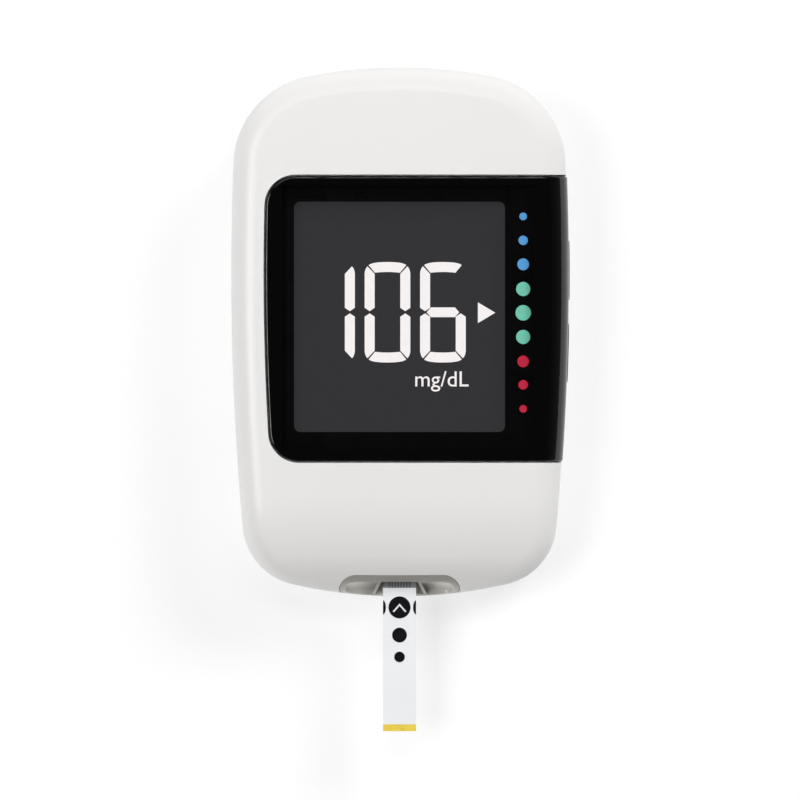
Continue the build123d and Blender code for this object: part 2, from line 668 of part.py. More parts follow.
def battery_door():
    """The door over the cells: hooks at its lower edge, a springy U latch and grip grooves at its top."""
    door = form(0) & door_zone(0, (-WALL, DOOR_T))
    hook_z = (DOOR_T + FIT_GAP / 2, DOOR_T + FIT_GAP / 2 + HOOK_T)
    for side in (-1, 1):
        x = about(side * hook_x, HOOK_WIDTH)
        door += block(x, (door_bottom_y - HOOK_REACH, door_bottom_y + HOOK_T), hook_z)
        door += block(x, (door_bottom_y, door_bottom_y + HOOK_T), (DOOR_T / 2, hook_z[1]))
    inner_leg = door_top_y - LATCH_T / 2
    outer_leg = inner_leg + latch_out
    top = latch_top - LATCH_T / 2
    path = [(inner_leg, DOOR_T / 2), (inner_leg, top), (outer_leg, top), (outer_leg, 0)]
    door += leaf(path, LATCH_T, LATCH_T, 0, LATCH_WIDTH)
    for i in range(DOOR_GRIP_COUNT):
        y = door_top_y - DOOR_GRIP_IN - i * DOOR_GRIP_PITCH
        door -= Pos(0, y, 0) * Rot(0, 90, 0) * Cylinder(DOOR_GRIP_R, DOOR_GRIP_WIDTH)
    return door


def housing_screws():
    """Four equal screws, put in from the back."""
    head = Pos(0, 0, SCREW_HEAD_DEPTH - SCREW_HEAD_T / 2) * Cylinder(SCREW_HEAD_D / 2, SCREW_HEAD_T)
    head = fillet(head.edges().group_by(Axis.Z)[0], SCREW_HEAD_R)
    shank_top = SCREW_HEAD_DEPTH + SCREW_LENGTH
    shank = rod(0, 0, SCREW_D / 2, (SCREW_HEAD_DEPTH, shank_top))
    screw = head + chamfer(shank.edges().group_by(Axis.Z)[-1], *SCREW_TIP)
    recess = about(SCREW_HEAD_DEPTH - SCREW_HEAD_T, 2 * SCREW_RECESS_DEPTH)
    for size in ((SCREW_RECESS_WIDTH, SCREW_RECESS_LENGTH), (SCREW_RECESS_LENGTH, SCREW_RECESS_WIDTH)):
        screw -= block(about(0, size[0]), about(0, size[1]), recess)
    return joined(Pos(x, y, 0) * screw for x, y in screw_spots)


# ---------------------------------------------------------------- lens and display


def lens_layer(outer, inner, margin):
    """A layer of the lens between two depths, pulled in by margin from the edge of its seat."""
    return skin(outer, inner) & lens_zone(-margin, PARTING_Z + margin)


def pierced(layer, gap):
    """A layer with openings for the keys."""
    for y in key_spots.values():
        layer -= key_zone(y, gap, (0, BEYOND))
    return layer


def display_lens():
    """The glossy lens, with its outer edges eased."""
    lens = lens_layer(-LENS_PROUD, lens_inner, GROOVE_WIDTH)
    outer = [face for face in lens.faces() if not form(0).is_inside(face.center())]
    walls = [face for face in lens.faces() if form(0).is_inside(face.center())]
    return pierced(fillet(shared_edges(outer, walls), LENS_EDGE_R), FIT_GAP)


def lens_print():
    """The black ink behind the lens, open at the window."""
    ink = lens_layer(lens_inner, print_inner, GROOVE_WIDTH) - window_zone(0, (0, BEYOND))
    return pierced(ink, FIT_GAP)


def lens_tape():
    """The adhesive frame that holds the lens on its seat."""
    tape = lens_layer(print_inner, lens_seat, TAPE_MARGIN) - window_zone(TAPE_BORDER, (0, BEYOND))
    return pierced(tape, TAPE_MARGIN)


def lcd_sheet(top, thickness, border, high_y):
    """A flat sheet of the display, centred on the window at its sides."""
    x = about(0, 2 * (lcd_half_width - border))
    return block(x, (lcd_low_y + border, high_y - border), (top - thickness, top))


def light_guide():
    """The clear plate behind the display, cut back at its lower edge for the backlight's LEDs."""
    guide = lcd_sheet(guide_top, LIGHT_GUIDE_T, 0, lcd_high_y)
    led_room = (-BEYOND, lcd_low_y + BACKLIGHT_LED_DEPTH + HOLDER_GAP)
    for side in (-1, 1):
        x = about(side * BACKLIGHT_LED_SPACING / 2, BACKLIGHT_LED_WIDTH + 2 * HOLDER_GAP)
        guide -= block(x, led_room, (0, BEYOND))
    return guide


def backlight_leds():
    """Two side-emitting LEDs at the lower edge of the light guide."""
    y = (lcd_low_y, lcd_low_y + BACKLIGHT_LED_DEPTH)
    z = (holder_floor, holder_floor + BACKLIGHT_LED_DEPTH)
    spots = [side * BACKLIGHT_LED_SPACING / 2 for side in (-1, 1)]
    return joined(block(about(x, BACKLIGHT_LED_WIDTH), y, z) for x in spots)


def zebra_y():
    """Where the connector strip runs, under the terminals of the upper glass."""
    return about(lcd_high_y + LCD_TERMINALS / 2, ZEBRA_WIDTH)


def lcd_holder():
    """The tray that carries the display over the board, hollow underneath for the chips."""
    grow = HOLDER_GAP + HOLDER_WALL
    outer_x = about(0, 2 * (lcd_half_width + grow))
    holder = block(outer_x, (lcd_low_y - grow, lcd_end_y + grow), (board_top, lcd_top))
    inner_x = about(0, 2 * (lcd_half_width + HOLDER_GAP))
    holder -= block(inner_x, (lcd_low_y - HOLDER_GAP, lcd_end_y + HOLDER_GAP), (holder_floor, BEYOND))
    holder -= block(inner_x, (lcd_low_y, lcd_high_y), (0, holder_floor - HOLDER_FLOOR_T))
    slot = zebra_y()
    zebra_x = about(0, 2 * (lcd_half_width - ZEBRA_MARGIN + HOLDER_GAP))
    holder -= block(zebra_x, (slot[0] - HOLDER_GAP, slot[1] + HOLDER_GAP), (0, BEYOND))
    return fillet(holder.edges().filter_by(Axis.Z).group_by(SortBy.DISTANCE)[-1], HOLDER_WALL)


def zebra_strip():
    """The conducting rubber strip between board and glass."""
    x = about(0, 2 * (lcd_half_width - ZEBRA_MARGIN))
    return block(x, zebra_y(), (board_top, lower_glass_top))


# ---------------------------------------------------------------- electronics


def main_board():
    """The circuit board, clamped between the screw posts and bosses."""
    board = column(outline(WALL + BOARD_GAP), (board_bottom, board_top))
    board -= block(about(0, PORT_WIDTH + 2 * (PORT_EAR + BOARD_GAP)), (-BEYOND, connector_y[0]), (0, BEYOND))
    carriage_y = (arm_y - EJECTOR_TRAVEL - BOARD_GAP, thumb_top_y + BOARD_GAP)
    board -= block((-BEYOND, carriage_inner_x + CARRIAGE_ROOM), carriage_y, (0, BEYOND))
    board -= block((switch_x, BEYOND), about(key_y, 2 * (key_span + BOARD_GAP)), (0, BEYOND))
    for x, y in screw_spots:
        board -= rod(x, y, SCREW_D / 2 + SCREW_HOLE_GAP, (0, BEYOND))
    return board


def board_chips():
    """The controller, the memory and the measuring amplifier, under the display."""
    sizes = ((CONTROLLER_SIZE, CONTROLLER_SIZE), MEMORY_SIZE, AMPLIFIER_SIZE)
    places = (CONTROLLER_AT, MEMORY_AT, AMPLIFIER_AT)
    z = (board_top, board_top + CHIP_T)
    return joined(block(about(x, w), about(y, d), z) for (w, d), (x, y) in zip(sizes, places))


def board_passives():
    """Two rows of small resistors and capacitors."""
    width, depth, height = PASSIVE_SIZE
    z = (board_top, board_top + height)
    spots = [(i, j) for i in range(PASSIVE_COLUMNS) for j in range(PASSIVE_ROWS)]
    places = [(PASSIVES_AT[0] + i * PASSIVE_PITCH, PASSIVES_AT[1] + j * PASSIVE_PITCH) for i, j in spots]
    return joined(block(about(x, width), about(y, depth), z) for x, y in places)


def radio_module():
    """The radio module: a small board with a metal can."""
    x, y = RADIO_IN[0] - HALF_WIDTH, HALF_LENGTH - RADIO_IN[1]
    width, depth = RADIO_SIZE
    can_bottom = board_top + RADIO_BASE_T
    base = block(about(x, width), about(y, depth), (board_top, can_bottom))
    x = about(x, width - 2 * RADIO_RIM)
    y = about(y, depth - 2 * RADIO_RIM)
    can = block(x, y, (can_bottom, can_bottom + RADIO_CAN_T))
    return base + fillet(can.edges().group_by(Axis.Z)[-1], RADIO_CAN_R)


def port_leds():
    """Two LEDs that light the port's bezel from behind."""
    width, depth, height = PORT_LED_SIZE
    y = (connector_y[0] + FIT_GAP, connector_y[0] + FIT_GAP + depth)
    z = (board_top, board_top + height)
    return joined(block(about(side * PORT_LED_X, width), y, z) for side in (-1, 1))


def usb_socket():
    """The folded metal shell of the socket."""
    face = Rectangle(USB_WIDTH, USB_HEIGHT)
    lower = face.vertices().sort_by(Axis.Y)[:2]
    face = chamfer(lower, USB_CORNER)
    face = fillet(face.vertices(), USB_SHELL_T)
    y = (HALF_LENGTH - USB_SET_BACK - USB_DEPTH, HALF_LENGTH - USB_SET_BACK)
    back = Plane((0, y[0], board_top + USB_HEIGHT / 2), x_dir=(1, 0, 0), z_dir=(0, -1, 0))
    shell = extrude(back * face, -USB_DEPTH)
    inner = offset(face, -USB_SHELL_T)
    return shell - extrude(back.offset(-USB_SHELL_T) * inner, -USB_DEPTH)


def usb_tongue():
    """The plastic tongue that carries the socket's contacts."""
    y0 = HALF_LENGTH - USB_SET_BACK - USB_DEPTH + USB_SHELL_T
    y = (y0, HALF_LENGTH - USB_SET_BACK - USB_TONGUE_BACK)
    middle = board_top + USB_HEIGHT / 2
    x = about(0, USB_TONGUE_WIDTH)
    tongue = block(x, y, (middle, middle + USB_TONGUE_T))
    return tongue + block(x, (y0, y0 + USB_TONGUE_T), about(middle, 2 * USB_TONGUE_T))


# ---------------------------------------------------------------- cells and contacts


def coin_cell(side):
    """A coin cell, can down and cap up."""
    can_r = cell_d / 2
    can_top = CELL_T - CELL_CAP_HEIGHT
    can = Cylinder(can_r, can_top, align=(Align.CENTER, Align.CENTER, Align.MIN))
    can = fillet(can.edges().group_by(Axis.Z)[0], CELL_EDGE_R)
    can = fillet(can.edges().group_by(Axis.Z)[-1], CELL_RIM_R)
    cap = rod(0, 0, can_r - CELL_CAP_INSET, (can_top, CELL_T))
    cap = fillet(cap.edges().group_by(Axis.Z)[-1], CELL_RIM_R)
    return Pos(side * cell_x, bay_y, cell_bottom) * (can + cap)


def negative_contacts():
    """A leaf over each cell, pressing on its cap, with a leg up to the board."""
    foot_y = bay_y + CONTACT_LEAF
    rest = cell_top + CONTACT_TOUCH + CONTACT_T / 2
    high = bay_ceiling - CONTACT_TOUCH - CONTACT_T / 2
    path = [(foot_y, board_bottom), (foot_y, high), (bay_y + CONTACT_SLOPE, high), (bay_y, rest)]
    path += [(bay_y - CONTACT_SLOPE, rest), (bay_y - CONTACT_LEAF, high)]
    return joined(leaf(path, CONTACT_T, CONTACT_BEND_R, side * cell_x, CONTACT_WIDTH) for side in (-1, 1))


def positive_contacts():
    """A leaf beside each cell, against its can, with a leg up to the board."""
    y = bay_y + cell_d / 2 + CONTACT_TOUCH
    low = cell_bottom + CELL_EDGE_R
    spots = [side * cell_x for side in (-1, 1)]
    return joined(block(about(x, CONTACT_WIDTH), (y, y + CONTACT_T), (low, board_bottom)) for x in spots)


# ---------------------------------------------------------------- test strip, connector and port


def strip_base():
    """The white base film of the strip, up to its coloured tip."""
    return block(about(0, STRIP_WIDTH), (strip_tip_y + STRIP_TIP_LENGTH, strip_inner_y), (strip_z, base_top))


def strip_film():
    """The printed cover film, which leaves the inner end bare."""
    y = (strip_tip_y + STRIP_TIP_LENGTH, strip_inner_y - STRIP_BARE_LENGTH)
    return block(about(0, STRIP_WIDTH), y, (base_top, strip_top))


def strip_tip():
    """The yellow dosing end."""
    y = (strip_tip_y, strip_tip_y + STRIP_TIP_LENGTH)
    return block(about(0, STRIP_WIDTH), y, (strip_z, strip_top))


def strip_electrodes():
    """The conducting tracks on the bare end."""
    y = (strip_inner_y - STRIP_BARE_LENGTH, strip_inner_y)
    z = (base_top, base_top + ELECTRODE_T)
    return joined(block(about(x, ELECTRODE_WIDTH), y, z) for x in electrode_xs)


def finger_ys():
    """Where a contact finger leaves its upper run, and where it touches the strip."""
    touch = strip_inner_y - FINGER_TOUCH
    return touch + FINGER_SLOPE, touch


def strip_connector():
    """The connector's body: a channel for the strip, open at both ends, with slots for the fingers."""
    half, low, high = channel
    body = block(about(0, 2 * (half + CONNECTOR_WALL)), connector_y, (board_top, connector_top))
    body = chamfer(body.edges().filter_by(Axis.Y).group_by(Axis.Z)[-1], CONNECTOR_CHAMFER)
    body -= block((-half, half), (-BEYOND, BEYOND), (low, high))
    touch = finger_ys()[1]
    for x in electrode_xs:
        body -= block(about(x, FINGER_SLOT), (touch - FINGER_ROOM, BEYOND), (high, BEYOND))
    return body


def strip_contacts():
    """Sprung fingers, from the board up behind the connector and down onto the strip."""
    leg = connector_y[1] + FINGER_T / 2
    high = connector_top - FINGER_DROP
    bend, touch = finger_ys()
    rest = base_top + ELECTRODE_T + CONTACT_TOUCH + FINGER_T / 2
    path = [(leg, board_top), (leg, high), (bend, high), (touch, rest), (touch - FINGER_NOSE, high)]
    return joined(leaf(path, FINGER_T, FINGER_BEND_R, x, FINGER_WIDTH) for x in electrode_xs)


def mouth(grow):
    """The flared mouth over the strip, seen from above, grown sideways and inwards."""
    throat = MOUTH_THROAT / 2 + grow
    lip = MOUTH_WIDTH / 2 + grow
    inner_y = MOUTH_DEPTH - HALF_LENGTH
    flare = (lip - throat) / MOUTH_DEPTH
    out = throat + flare * (MOUTH_DEPTH + PORT_DEPTH)
    outer_y = -HALF_LENGTH - PORT_DEPTH
    inner = ((-throat, inner_y), (throat, inner_y))
    face = make_face(Polyline(*inner, (out, outer_y), (-out, outer_y), close=True))
    return column(face, (port_z - MOUTH_DROP, BEYOND))


def port_bezel():
    """The translucent bezel: a rim, a flared mouth between two guides, and a dished wing on each side."""
    bezel = port_zone(0) & form(0)
    ear_z = about(port_z, PORT_EAR_HEIGHT)
    ears = block(about(0, PORT_WIDTH + 2 * PORT_EAR), (port_inner_y - PORT_DEPTH, port_inner_y), ear_z)
    bezel += ears & form(WALL + FIT_GAP)
    inside = port_zone(-PORT_RIM)
    guides = mouth(MOUTH_GUIDE_T)
    for side in (-1, 1):
        dish = scale(Sphere(1), by=WING_RADII)
        dish = Pos(side * WING_OFFSET, -HALF_LENGTH, port_z + WING_RISE) * dish
        bezel -= (dish & inside) - guides
    bezel -= mouth(0) & inside
    half, low, high = channel
    return bezel - block((-half, half), (-BEYOND, BEYOND), (low, high))


# ---------------------------------------------------------------- keys


def key(y):
    """One key: a cap in the lens's side, and a flange behind the wall that keeps it in."""
    cap = key_zone(y, 0, (key_back_x, BEYOND)) & form(-LENS_PROUD - KEY_PROUD)
    return cap + key_zone(y, KEY_FLANGE, (key_back_x, key_stop_x))


def key_switch(y):
    """The body of a side-pressed switch, with the hole that its plunger slides in."""
    x = (switch_x - SWITCH_DEPTH, switch_x)
    body = block(x, about(y, SWITCH_LENGTH), (board_top, board_top + SWITCH_HEIGHT))
    body = chamfer(body.edges().filter_by(Axis.X).group_by(Axis.Z)[-1], SWITCH_CHAMFER)
    hole_y = about(y, PLUNGER_SIZE[0] + 2 * PLUNGER_GAP)
    hole_z = about(key_z, PLUNGER_SIZE[1] + 2 * PLUNGER_GAP)
    return body - block((switch_x - PLUNGER_IN - KEY_TRAVEL - PLUNGER_GAP, BEYOND), hole_y, hole_z)


def key_plunger(y):
    """The plunger between a key and its switch."""
    width, height = PLUNGER_SIZE
    return block((switch_x - PLUNGER_IN, key_back_x), about(y, width), about(key_z, height))


# ---------------------------------------------------------------- strip ejector


def ejector_slider():
    """The ribbed thumb piece in its track, and the stem through the track's floor."""
    thumb = track_zone(0, thumb_y) & skin(THUMB_RECESS, TRACK_DEPTH - TRACK_GAP)
    middle = sum(thumb_y) / 2
    for i in range(THUMB_GROOVES):
        y = middle + (i - (THUMB_GROOVES - 1) / 2) * THUMB_GROOVE_PITCH
        thumb -= rod(-side_x(y, THUMB_RECESS), y, THUMB_GROOVE_R, (0, BEYOND))
    stem = block((-BEYOND, carriage_x), (stem_y, stem_y + STEM_LENGTH), about(PARTING_Z, STEM_HEIGHT))
    return thumb + (stem & form(STEM_DEPTH))


def ejector_carriage():
    """The plate inside the wall, with the arm that reaches behind the strip and its two prongs."""
    plate_y = (arm_y, stem_y + STEM_LENGTH)
    plate = block((carriage_x, carriage_inner_x), plate_y, about(PARTING_Z, CARRIAGE_HEIGHT))
    arm = block((carriage_x, STRIP_WIDTH / 2), (arm_y, arm_y + ARM_WIDTH), about(port_z, ARM_T))
    carriage = plate + arm
    for side in (-1, 1):
        x = about(side * (STRIP_WIDTH - PRONG_WIDTH) / 2, PRONG_WIDTH)
        carriage += block(x, (strip_inner_y + PRONG_ROOM, arm_y), (strip_z, strip_top))
    pin = Plane((spring_x, arm_y, port_z), z_dir=(0, -1, 0)) * Circle(spring_pin_r)
    return carriage + extrude(pin, SPRING_PIN_LENGTH)


def ejector_spring():
    """The coil spring that brings the slider back."""
    ends = (spring_seat_y + SPRING_WIRE_D, arm_y - SPRING_WIRE_D)
    coil_r = (SPRING_OD - SPRING_WIRE_D) / 2
    length = ends[1] - ends[0]
    start = (spring_x, ends[0], port_z)
    path = Helix(length / SPRING_TURNS, length, coil_r, center=start, direction=(0, 1, 0))
    wire = Plane(path @ 0, z_dir=path % 0) * Circle(SPRING_WIRE_D / 2)
    return sweep(wire, path=path, is_frenet=True)


# ---------------------------------------------------------------- the parts

PARTS = {
    "front_cover": front_cover,
    "rear_cover": rear_cover,
    "battery_door": battery_door,
    "housing_screws": housing_screws,
    "display_lens": display_lens,
    "lens_print": lens_print,
    "lens_tape": lens_tape,
    "lcd_polariser": lambda: lcd_sheet(lcd_top, POLARISER_T, LCD_BORDER / 2, lcd_high_y),
    "lcd_upper_glass": lambda: lcd_sheet(upper_glass_top, GLASS_T, 0, lcd_end_y),
    "lcd_lower_glass": lambda: lcd_sheet(lower_glass_top, GLASS_T, 0, lcd_high_y),
    "lcd_rear_film": lambda: lcd_sheet(rear_film_top, POLARISER_T, 0, lcd_high_y),
    "light_guide": light_guide,
    "backlight_leds": backlight_leds,
    "lcd_holder": lcd_holder,
    "zebra_strip": zebra_strip,
    "main_board": main_board,
    "board_chips": board_chips,
    "board_passives": board_passives,
    "radio_module": radio_module,
    "port_leds": port_leds,
    "usb_socket": usb_socket,
    "usb_tongue": usb_tongue,
    "coin_cell_left": lambda: coin_cell(-1),
    "coin_cell_right": lambda: coin_cell(1),
    "negative_contacts": negative_contacts,
    "positive_contacts": positive_contacts,
    "strip_base": strip_base,
    "strip_film": strip_film,
    "strip_tip": strip_tip,
    "strip_electrodes": strip_electrodes,
    "strip_connector": strip_connector,
    "strip_contacts": strip_contacts,
    "port_bezel": port_bezel,
    "up_button": lambda: key(key_spots["up"]),
    "down_button": lambda: key(key_spots["down"]),
    "up_switch": lambda: key_switch(key_spots["up"]),
    "down_switch": lambda: key_switch(key_spots["down"]),
    "up_plunger": lambda: key_plunger(key_spots["up"]),
    "down_plunger": lambda: key_plunger(key_spots["down"]),
    "ejector_slider": ejector_slider,
    "ejector_carriage": ejector_carriage,
    "ejector_spring": ejector_spring,
}

os.makedirs("parts", exist_ok=True)
for name, make in PARTS.items():
    export_step(make(), f"parts/{name}.step")
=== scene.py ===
import json
from math import cos, hypot, pi, radians, sin

import bmesh
import bpy
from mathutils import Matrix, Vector

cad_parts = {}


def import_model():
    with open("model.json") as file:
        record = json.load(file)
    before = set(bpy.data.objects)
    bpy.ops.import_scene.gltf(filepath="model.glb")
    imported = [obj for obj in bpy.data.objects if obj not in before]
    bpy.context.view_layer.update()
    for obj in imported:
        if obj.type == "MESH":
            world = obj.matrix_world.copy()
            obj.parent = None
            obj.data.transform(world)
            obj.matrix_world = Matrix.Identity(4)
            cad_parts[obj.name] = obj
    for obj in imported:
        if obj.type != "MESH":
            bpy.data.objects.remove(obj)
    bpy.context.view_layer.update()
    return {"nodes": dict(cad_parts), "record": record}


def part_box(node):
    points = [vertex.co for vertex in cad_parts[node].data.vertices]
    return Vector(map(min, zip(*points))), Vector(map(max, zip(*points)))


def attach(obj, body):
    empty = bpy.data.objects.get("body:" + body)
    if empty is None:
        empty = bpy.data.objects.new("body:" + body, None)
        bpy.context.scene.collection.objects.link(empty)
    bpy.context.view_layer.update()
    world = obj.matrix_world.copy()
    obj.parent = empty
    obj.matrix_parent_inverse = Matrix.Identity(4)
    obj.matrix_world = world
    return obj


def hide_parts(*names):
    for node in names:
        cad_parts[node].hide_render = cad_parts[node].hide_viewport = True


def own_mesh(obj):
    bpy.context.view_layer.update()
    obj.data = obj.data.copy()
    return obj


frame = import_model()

# A pocket blood glucose meter on its back, seen from straight above, with a test strip in its port.
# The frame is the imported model's: metres, +X to the right of the display, +Y to its top, +Z up.

MM = 0.001
NODES = frame["nodes"]

# ---------------------------------------------------------------- sizes, in millimetres

# The photograph's framing
VIEW_WIDTH = 115.57  # what the picture's width covers at the lens
VIEW_MIDDLE = (0.07, -9.82)
CAMERA_HEIGHT = 1200.0
LENS_LEVEL = 15.0  # the height at which VIEW_WIDTH is measured
SENSOR = 36.0

# Figures on the display
DIGIT_SIZE = (6.61, 14.55)
DIGIT_PITCH = 8.03
DIGITS_LEFT = -13.08  # left side of the hundreds place
DIGITS_TOP = 10.16
SEGMENT_T = 1.45
SEGMENT_GAP = 0.32
DIGIT_CORNER = 1.65  # down from a figure's top to where its side starts to bend in
SIDE_PULL = (0.06, 0.95)  # in from the figure's side and down from its top: what pulls that bend
SIDE_END = (0.42, 0.62)  # the same for the bend's end
SIDE_EASE = 0.12  # how far the side's inner corner stays under the crossbar
SHOULDER_EASE = 0.08  # how much nearer its shoulders lie to the figure's middle than half its thickness
CROSSBAR_END = (0.58, 0.45)  # in from the figure's side and down from its top
CROSSBAR_PULL = 0.16  # how far in the crossbar's bend is pulled, of the figure's width
CROSSBAR_INSET = 0.04  # how far the crossbar's inner corners lie past the sides
CROSSBAR_BOW = (0.1, 0.12)  # of its inner side: how low its ends lie, and how high its middle is pulled
MIDDLE_TIP = 0.7  # of the gap, from the sides' middle line to the middle bar's points
MIDDLE_EASE = (0.12, 0.02)  # how much further in the middle bar's taper ends, and how much thinner it is
FIGURE_T = 0.04
FIGURE_LIFT = 0.05  # of the figures over the polariser
POINTER = (11.35, 13.87, 2.82, 1.5)  # left, tip, middle height, half its height
UNIT_LEFT = 2.1
UNIT_BASE = -7.85
UNIT_CAP_HEIGHT = 2.22
CAP_SHARE = 0.70  # of the font's size, the height of its capitals
UNIT_BOLDER = 0.005
UNIT_SPACING = 1.01

# Coloured dots printed beside the window: each one's height, radius and colour
DOT_X = 17.88
DOTS = (
    (16.72, 0.55, "blue"), (13.26, 0.68, "blue"), (9.80, 0.85, "blue"),
    (6.23, 1.02, "green"), (2.79, 1.12, "green"), (-0.70, 1.02, "green"),
    (-4.24, 0.84, "red"), (-7.62, 0.69, "red"), (-11.10, 0.55, "red"),
)
DOT_T = 0.03

# Print on the test strip
RING_Y = -39.93
RING_R = 1.6
STRIP_DOTS = ((-43.95, 1.08), (-47.13, 0.77))  # place along the strip and radius
EDGE_MARK_R = 1.02
EDGE_MARK_DEPTH = 0.42
CHEVRON = (1.0, 1.12, 0.24)  # half width, height and stroke
PRINT_T = 0.02
TRACKS = (8, 0.42, 0.2, 0.05)  # how many, their pitch, width and thickness

# The spring behind the ejector; the ejector squeezes the real one as it comes forward, but this one keeps
# one length
WIRE_D = 0.28
COILS = 7

# Arrows printed on the keys, pointing away from each other
ARROW_LENGTH = 1.5
ARROW_HALF = 0.85

# Looks
GRAIN_DEPTH = 0.02
BRUSH_DEPTH = 0.01
BRUSH_STRETCH = (1, 12, 12)  # so that brush marks run along X
BRUSH_TINT = 0.95  # a metal's darkest spots, of its colour
WAVE_AT_ONE = 0.314  # length of a wave texture's bands at a scale of 1, in metres
NOISE_SPAN = (0.3, 0.7)  # where most of a noise texture's values lie
PAINTED_GLOW_SHAPE = (1.0, 0.5, 1.2)  # the painted glow on the port's moulding, an emission standing in for its lamps' light, reaches furthest forwards, through the dish's walls
CLEAR_ZONE = ((-17.0, 19.4), (-17.0, 21.2))  # of the lens; the rest of it is black right through

# The table, in metres but for the gap
TABLE_RADIUS = 3.0
TABLE_GAP = 0.2  # under the meter's back, so that the two don't flicker through each other
TABLE_COLOUR = 0.45
TABLE_GLOW = 0.60  # with its colour, this makes a white background


# ---------------------------------------------------------------- mesh helpers


def keep(name, bm, mat, body):
    """Turns a bmesh, drawn in millimetres, into a piece that rides on a body."""
    mesh = bpy.data.meshes.new(name)
    bmesh.ops.recalc_face_normals(bm, faces=bm.faces)
    bmesh.ops.scale(bm, vec=(MM, MM, MM), verts=bm.verts)
    bm.to_mesh(mesh)
    bm.free()
    mesh.materials.append(mat)
    piece = bpy.data.objects.new(name, mesh)
    bpy.context.scene.collection.objects.link(piece)
    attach(piece, body)
    return piece


def plate(bm, outline, low, high):
    """A flat plate with the given outline, from one height to another."""
    lower = [bm.verts.new((x, y, low)) for x, y in outline]
    upper = [bm.verts.new((x, y, high)) for x, y in outline]
    bm.faces.new(lower[::-1])
    bm.faces.new(upper)
    count = len(outline)
    for i in range(count):
        j = (i + 1) % count
        bm.faces.new((lower[i], lower[j], upper[j], upper[i]))


def disc(x, y, radius, steps=48):
    """The outline of a disc."""
    turns = [2 * pi * i / steps for i in range(steps)]
    return [(x + radius * cos(turn), y + radius * sin(turn)) for turn in turns]


def corner_of(node, which):
    """A node's lowest (0) or highest (1) corner, in millimetres."""
    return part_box(node)[which] / MM


# ---------------------------------------------------------------- material helpers


def new_material(name, colour, roughness, **sockets):
    """A Principled material; returns it with its nodes, links and shader."""
    mat = bpy.data.materials.new(name)
    mat.use_nodes = True
    nodes, links = mat.node_tree.nodes, mat.node_tree.links
    shader = nodes["Principled BSDF"]
    shader.inputs["Base Color"].default_value = (*colour, 1)
    shader.inputs["Roughness"].default_value = roughness
    for socket, value in sockets.items():
        shader.inputs[socket.replace("_", " ")].default_value = value
    return mat, nodes, links, shader


def bare_material(name):
    """A material with no shader yet; returns it with its nodes, links and surface socket."""
    mat = bpy.data.materials.new(name)
    mat.use_nodes = True
    nodes, links = mat.node_tree.nodes, mat.node_tree.links
    nodes.remove(nodes["Principled BSDF"])
    return mat, nodes, links, nodes["Material Output"].inputs["Surface"]


def placed(nodes, links):
    """The place in the piece's own coordinates, in metres, as outputs X, Y and Z."""
    place = nodes.new("ShaderNodeTexCoord")
    parts = nodes.new("ShaderNodeSeparateXYZ")
    links.new(place.outputs["Object"], parts.inputs["Vector"])
    return parts.outputs


def noise(nodes, links, scale, detail=2.0, stretch=None):
    """Noise in the piece's own coordinates; scale is in features per metre."""
    place = nodes.new("ShaderNodeTexCoord").outputs["Object"]
    if stretch is not None:
        mapping = nodes.new("ShaderNodeMapping")
        mapping.inputs["Scale"].default_value = stretch
        links.new(place, mapping.inputs["Vector"])
        place = mapping.outputs["Vector"]
    pattern = nodes.new("ShaderNodeTexNoise")
    pattern.inputs["Scale"].default_value = scale
    pattern.inputs["Detail"].default_value = detail
    links.new(place, pattern.inputs["Vector"])
    return pattern.outputs["Fac"]


def figured(nodes, links, operation, *values):
    """One Math node; a value is another node's output or a number."""
    node = nodes.new("ShaderNodeMath")
    node.operation = operation
    for socket, value in zip(node.inputs, values):
        if isinstance(value, (int, float)):
            socket.default_value = value
        else:
            links.new(value, socket)
    return node.outputs["Value"]


def ranged(nodes, links, value, low, high):
    """Noise spread over another range."""
    node = nodes.new("ShaderNodeMapRange")
    node.inputs["From Min"].default_value, node.inputs["From Max"].default_value = NOISE_SPAN
    node.inputs["To Min"].default_value = low
    node.inputs["To Max"].default_value = high
    links.new(value, node.inputs["Value"])
    return node.outputs["Result"]


def scaled(colour, factor):
    """A colour made darker or lighter, but no lighter than white."""
    return tuple(min(1.0, c * factor) for c in colour)


def blended(nodes, links, share, first, second):
    """One colour turning into another as share goes from 0 to 1; a colour may be another node's output."""
    mix = nodes.new("ShaderNodeMix")
    mix.data_type = "RGBA"
    for socket, colour in (("A", first), ("B", second)):
        if isinstance(colour, tuple):
            mix.inputs[socket].default_value = (*colour, 1)
        else:
            links.new(colour, mix.inputs[socket])
    links.new(share, mix.inputs["Factor"])
    return mix.outputs["Result"]


def joined(nodes, links, share, first, second):
    """One shader turning into another as share goes from 0 to 1."""
    mix = nodes.new("ShaderNodeMixShader")
    links.new(share, mix.inputs["Fac"])
    links.new(first, mix.inputs[1])
    links.new(second, mix.inputs[2])
    return mix.outputs["Shader"]


def front_side(nodes, links):
    """1 on the side that a face points to, 0 behind it."""
    side = nodes.new("ShaderNodeNewGeometry")
    return figured(nodes, links, "SUBTRACT", 1.0, side.outputs["Backfacing"])


def bumped(nodes, links, shader, value, strength, depth):
    """Gives a surface height; depth is in millimetres."""
    height = nodes.new("ShaderNodeBump")
    height.inputs["Strength"].default_value = strength
    height.inputs["Distance"].default_value = depth * MM
    links.new(value, height.inputs["Height"])
    links.new(height.outputs["Normal"], shader.inputs["Normal"])


